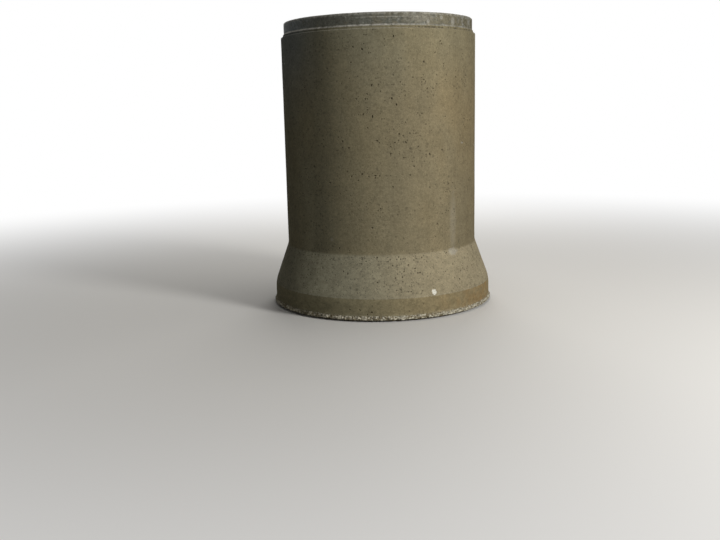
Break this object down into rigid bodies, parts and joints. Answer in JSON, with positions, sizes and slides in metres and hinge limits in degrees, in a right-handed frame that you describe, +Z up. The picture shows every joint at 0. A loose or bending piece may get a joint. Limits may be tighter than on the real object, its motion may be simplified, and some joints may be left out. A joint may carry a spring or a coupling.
{
  "type": "concrete sewer pipe",
  "caption": "Large concrete drain pipe with a bell socket and a stepped spigot, standing on end on its bell.",
  "frame": {"origin": "middle of the bell's rest face, on the pipe's axis", "axes": "+Z up along the pipe's axis, from the bell to the spigot"},
  "size_m": [1.7178, 1.7178, 2.126],
  "materials": {
    "concrete": "cast, matt, with air holes"
  },
  "bodies": {
    "root": {"pipe": "concrete"}
  },
  "joints": []
}
